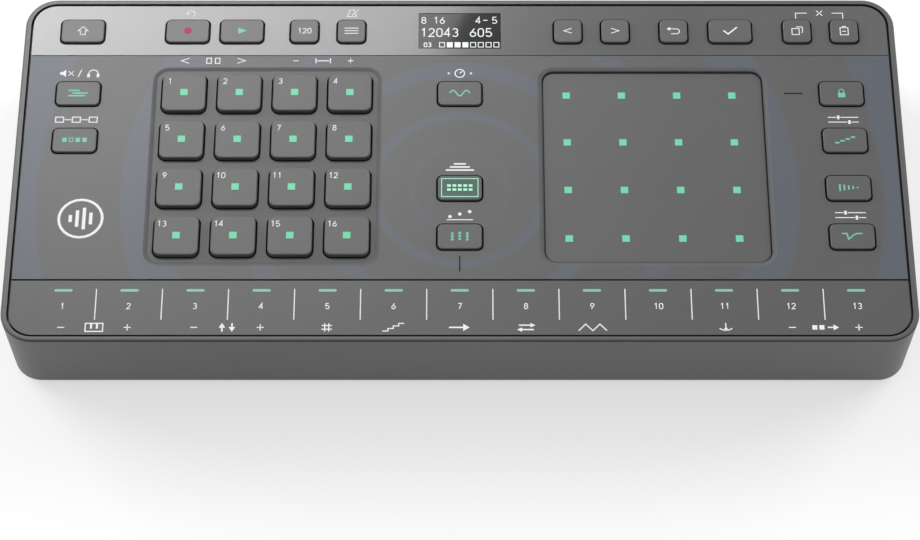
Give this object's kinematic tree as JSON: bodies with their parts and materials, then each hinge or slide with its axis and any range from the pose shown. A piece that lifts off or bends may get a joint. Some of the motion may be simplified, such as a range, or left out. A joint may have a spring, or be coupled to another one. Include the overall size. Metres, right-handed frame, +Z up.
{
  "type": "groovebox",
  "caption": "Compact wedge-shaped desktop groovebox with a pad grid, a touch panel, a touch strip, a small display and pressable buttons on a sloping deck.",
  "frame": {"origin": "on the table, at the middle of the box's footprint with its rear knob", "axes": "+X to the player's right, +Y away from the player, +Z up"},
  "size_m": [0.265, 0.1252, 0.039],
  "materials": {
    "case_plastic": "fine moulded grain",
    "deck_plastic": "satin, with faint printed rings",
    "gloss_panel": "polished",
    "touch_surface": "satin",
    "pad_plastic": "soft satin",
    "button_plastic": "satin",
    "display_glass": "black glass",
    "silicone": "translucent silicone",
    "board": "solder mask",
    "lamp": "green lamp",
    "cable": "flat cable film",
    "socket_metal": "plated",
    "socket_plastic": "black moulded",
    "knob_plastic": "satin black",
    "cell_sleeve": "plain sleeve",
    "contact_metal": "plated",
    "foot_rubber": "matt",
    "print_white": "white screen print"
  },
  "bodies": {
    "case": {"lower_case": "case_plastic", "top_frame": "case_plastic", "display_strip": "gloss_panel", "main_deck": "deck_plastic", "touch_strip": "deck_plastic", "touch_pad": "touch_surface", "display_module": "display_glass", "pad_mat": "silicone", "button_mat": "silicone", "control_board": "board", "led_chips": "lamp", "main_board": "board", "flat_cable": "cable", "usb_socket": "socket_metal", "jack_sockets": "socket_plastic", "volume_pot": "socket_plastic", "battery_cells": "cell_sleeve", "battery_contacts": "contact_metal", "screws": "contact_metal", "rubber_feet": "foot_rubber"},
    "pad_01": {"pad_01": "pad_plastic"},
    "pad_02": {"pad_02": "pad_plastic"},
    "pad_03": {"pad_03": "pad_plastic"},
    "pad_04": {"pad_04": "pad_plastic"},
    "pad_05": {"pad_05": "pad_plastic"},
    "pad_06": {"pad_06": "pad_plastic"},
    "pad_07": {"pad_07": "pad_plastic"},
    "pad_08": {"pad_08": "pad_plastic"},
    "pad_09": {"pad_09": "pad_plastic"},
    "pad_10": {"pad_10": "pad_plastic"},
    "pad_11": {"pad_11": "pad_plastic"},
    "pad_12": {"pad_12": "pad_plastic"},
    "pad_13": {"pad_13": "pad_plastic"},
    "pad_14": {"pad_14": "pad_plastic"},
    "pad_15": {"pad_15": "pad_plastic"},
    "pad_16": {"pad_16": "pad_plastic"},
    "shift_button": {"shift_button": "button_plastic"},
    "record_button": {"record_button": "button_plastic"},
    "play_button": {"play_button": "button_plastic"},
    "tempo_button": {"tempo_button": "button_plastic"},
    "menu_button": {"menu_button": "button_plastic"},
    "left_button": {"left_button": "button_plastic"},
    "right_button": {"right_button": "button_plastic"},
    "back_button": {"back_button": "button_plastic"},
    "enter_button": {"enter_button": "button_plastic"},
    "copy_button": {"copy_button": "button_plastic"},
    "paste_button": {"paste_button": "button_plastic"},
    "track_button": {"track_button": "button_plastic"},
    "pattern_button": {"pattern_button": "button_plastic"},
    "sound_button": {"sound_button": "button_plastic"},
    "chord_set_button": {"chord_set_button": "button_plastic"},
    "chord_button": {"chord_button": "button_plastic"},
    "hold_button": {"hold_button": "button_plastic"},
    "arp_button": {"arp_button": "button_plastic"},
    "delay_button": {"delay_button": "button_plastic"},
    "duck_button": {"duck_button": "button_plastic"},
    "volume_knob": {"volume_knob": "knob_plastic"},
    "power_switch": {"power_switch": "knob_plastic"},
    "battery_door": {"battery_door": "case_plastic"}
  },
  "joints": [
    {"name": "volume_turn", "type": "hinge", "parent": "case", "child": "volume_knob", "pos_m": [0.01, 0.05699, 0.017], "axis": [0, 1, 0], "range_deg": [-140, 140]},
    {"name": "power_slide", "type": "slide", "parent": "case", "child": "power_switch", "axis": [1, 0, 0], "range_m": [0, 0.004]},
    {"name": "battery_door_off", "type": "slide", "parent": "case", "child": "battery_door", "axis": [0, 0, -1], "range_m": [0, 0.03]},
    {"name": "pad_01_press", "type": "slide", "parent": "case", "child": "pad_01", "axis": [0, 0.0872, -0.9962], "range_m": [0, 0.0012], "stiffness_N_per_m": 400, "springref_m": -0.001, "deforming": ["pad_mat"]},
    {"name": "pad_02_press", "type": "slide", "parent": "case", "child": "pad_02", "axis": [0, 0.0872, -0.9962], "range_m": [0, 0.0012], "stiffness_N_per_m": 400, "springref_m": -0.001, "deforming": ["pad_mat"]},
    {"name": "pad_03_press", "type": "slide", "parent": "case", "child": "pad_03", "axis": [0, 0.0872, -0.9962], "range_m": [0, 0.0012], "stiffness_N_per_m": 400, "springref_m": -0.001, "deforming": ["pad_mat"]},
    {"name": "pad_04_press", "type": "slide", "parent": "case", "child": "pad_04", "axis": [0, 0.0872, -0.9962], "range_m": [0, 0.0012], "stiffness_N_per_m": 400, "springref_m": -0.001, "deforming": ["pad_mat"]},
    {"name": "pad_05_press", "type": "slide", "parent": "case", "child": "pad_05", "axis": [0, 0.0872, -0.9962], "range_m": [0, 0.0012], "stiffness_N_per_m": 400, "springref_m": -0.001, "deforming": ["pad_mat"]},
    {"name": "pad_06_press", "type": "slide", "parent": "case", "child": "pad_06", "axis": [0, 0.0872, -0.9962], "range_m": [0, 0.0012], "stiffness_N_per_m": 400, "springref_m": -0.001, "deforming": ["pad_mat"]},
    {"name": "pad_07_press", "type": "slide", "parent": "case", "child": "pad_07", "axis": [0, 0.0872, -0.9962], "range_m": [0, 0.0012], "stiffness_N_per_m": 400, "springref_m": -0.001, "deforming": ["pad_mat"]},
    {"name": "pad_08_press", "type": "slide", "parent": "case", "child": "pad_08", "axis": [0, 0.0872, -0.9962], "range_m": [0, 0.0012], "stiffness_N_per_m": 400, "springref_m": -0.001, "deforming": ["pad_mat"]},
    {"name": "pad_09_press", "type": "slide", "parent": "case", "child": "pad_09", "axis": [0, 0.0872, -0.9962], "range_m": [0, 0.0012], "stiffness_N_per_m": 400, "springref_m": -0.001, "deforming": ["pad_mat"]},
    {"name": "pad_10_press", "type": "slide", "parent": "case", "child": "pad_10", "axis": [0, 0.0872, -0.9962], "range_m": [0, 0.0012], "stiffness_N_per_m": 400, "springref_m": -0.001, "deforming": ["pad_mat"]},
    {"name": "pad_11_press", "type": "slide", "parent": "case", "child": "pad_11", "axis": [0, 0.0872, -0.9962], "range_m": [0, 0.0012], "stiffness_N_per_m": 400, "springref_m": -0.001, "deforming": ["pad_mat"]},
    {"name": "pad_12_press", "type": "slide", "parent": "case", "child": "pad_12", "axis": [0, 0.0872, -0.9962], "range_m": [0, 0.0012], "stiffness_N_per_m": 400, "springref_m": -0.001, "deforming": ["pad_mat"]},
    {"name": "pad_13_press", "type": "slide", "parent": "case", "child": "pad_13", "axis": [0, 0.0872, -0.9962], "range_m": [0, 0.0012], "stiffness_N_per_m": 400, "springref_m": -0.001, "deforming": ["pad_mat"]},
    {"name": "pad_14_press", "type": "slide", "parent": "case", "child": "pad_14", "axis": [0, 0.0872, -0.9962], "range_m": [0, 0.0012], "stiffness_N_per_m": 400, "springref_m": -0.001, "deforming": ["pad_mat"]},
    {"name": "pad_15_press", "type": "slide", "parent": "case", "child": "pad_15", "axis": [0, 0.0872, -0.9962], "range_m": [0, 0.0012], "stiffness_N_per_m": 400, "springref_m": -0.001, "deforming": ["pad_mat"]},
    {"name": "pad_16_press", "type": "slide", "parent": "case", "child": "pad_16", "axis": [0, 0.0872, -0.9962], "range_m": [0, 0.0012], "stiffness_N_per_m": 400, "springref_m": -0.001, "deforming": ["pad_mat"]},
    {"name": "shift_button_press", "type": "slide", "parent": "case", "child": "shift_button", "axis": [0, 0.0872, -0.9962], "range_m": [0, 0.0005], "stiffness_N_per_m": 400, "springref_m": -0.001, "deforming": ["button_mat"]},
    {"name": "record_button_press", "type": "slide", "parent": "case", "child": "record_button", "axis": [0, 0.0872, -0.9962], "range_m": [0, 0.0005], "stiffness_N_per_m": 400, "springref_m": -0.001, "deforming": ["button_mat"]},
    {"name": "play_button_press", "type": "slide", "parent": "case", "child": "play_button", "axis": [0, 0.0872, -0.9962], "range_m": [0, 0.0005], "stiffness_N_per_m": 400, "springref_m": -0.001, "deforming": ["button_mat"]},
    {"name": "tempo_button_press", "type": "slide", "parent": "case", "child": "tempo_button", "axis": [0, 0.0872, -0.9962], "range_m": [0, 0.0005], "stiffness_N_per_m": 400, "springref_m": -0.001, "deforming": ["button_mat"]},
    {"name": "menu_button_press", "type": "slide", "parent": "case", "child": "menu_button", "axis": [0, 0.0872, -0.9962], "range_m": [0, 0.0005], "stiffness_N_per_m": 400, "springref_m": -0.001, "deforming": ["button_mat"]},
    {"name": "left_button_press", "type": "slide", "parent": "case", "child": "left_button", "axis": [0, 0.0872, -0.9962], "range_m": [0, 0.0005], "stiffness_N_per_m": 400, "springref_m": -0.001, "deforming": ["button_mat"]},
    {"name": "right_button_press", "type": "slide", "parent": "case", "child": "right_button", "axis": [0, 0.0872, -0.9962], "range_m": [0, 0.0005], "stiffness_N_per_m": 400, "springref_m": -0.001, "deforming": ["button_mat"]},
    {"name": "back_button_press", "type": "slide", "parent": "case", "child": "back_button", "axis": [0, 0.0872, -0.9962], "range_m": [0, 0.0005], "stiffness_N_per_m": 400, "springref_m": -0.001, "deforming": ["button_mat"]},
    {"name": "enter_button_press", "type": "slide", "parent": "case", "child": "enter_button", "axis": [0, 0.0872, -0.9962], "range_m": [0, 0.0005], "stiffness_N_per_m": 400, "springref_m": -0.001, "deforming": ["button_mat"]},
    {"name": "copy_button_press", "type": "slide", "parent": "case", "child": "copy_button", "axis": [0, 0.0872, -0.9962], "range_m": [0, 0.0005], "stiffness_N_per_m": 400, "springref_m": -0.001, "deforming": ["button_mat"]},
    {"name": "paste_button_press", "type": "slide", "parent": "case", "child": "paste_button", "axis": [0, 0.0872, -0.9962], "range_m": [0, 0.0005], "stiffness_N_per_m": 400, "springref_m": -0.001, "deforming": ["button_mat"]},
    {"name": "track_button_press", "type": "slide", "parent": "case", "child": "track_button", "axis": [0, 0.0872, -0.9962], "range_m": [0, 0.0005], "stiffness_N_per_m": 400, "springref_m": -0.001, "deforming": ["button_mat"]},
    {"name": "pattern_button_press", "type": "slide", "parent": "case", "child": "pattern_button", "axis": [0, 0.0872, -0.9962], "range_m": [0, 0.0005], "stiffness_N_per_m": 400, "springref_m": -0.001, "deforming": ["button_mat"]},
    {"name": "sound_button_press", "type": "slide", "parent": "case", "child": "sound_button", "axis": [0, 0.0872, -0.9962], "range_m": [0, 0.0005], "stiffness_N_per_m": 400, "springref_m": -0.001, "deforming": ["button_mat"]},
    {"name": "chord_set_button_press", "type": "slide", "parent": "case", "child": "chord_set_button", "axis": [0, 0.0872, -0.9962], "range_m": [0, 0.0005], "stiffness_N_per_m": 400, "springref_m": -0.001, "deforming": ["button_mat"]},
    {"name": "chord_button_press", "type": "slide", "parent": "case", "child": "chord_button", "axis": [0, 0.0872, -0.9962], "range_m": [0, 0.0005], "stiffness_N_per_m": 400, "springref_m": -0.001, "deforming": ["button_mat"]},
    {"name": "hold_button_press", "type": "slide", "parent": "case", "child": "hold_button", "axis": [0, 0.0872, -0.9962], "range_m": [0, 0.0005], "stiffness_N_per_m": 400, "springref_m": -0.001, "deforming": ["button_mat"]},
    {"name": "arp_button_press", "type": "slide", "parent": "case", "child": "arp_button", "axis": [0, 0.0872, -0.9962], "range_m": [0, 0.0005], "stiffness_N_per_m": 400, "springref_m": -0.001, "deforming": ["button_mat"]},
    {"name": "delay_button_press", "type": "slide", "parent": "case", "child": "delay_button", "axis": [0, 0.0872, -0.9962], "range_m": [0, 0.0005], "stiffness_N_per_m": 400, "springref_m": -0.001, "deforming": ["button_mat"]},
    {"name": "duck_button_press", "type": "slide", "parent": "case", "child": "duck_button", "axis": [0, 0.0872, -0.9962], "range_m": [0, 0.0005], "stiffness_N_per_m": 400, "springref_m": -0.001, "deforming": ["button_mat"]}
  ]
}
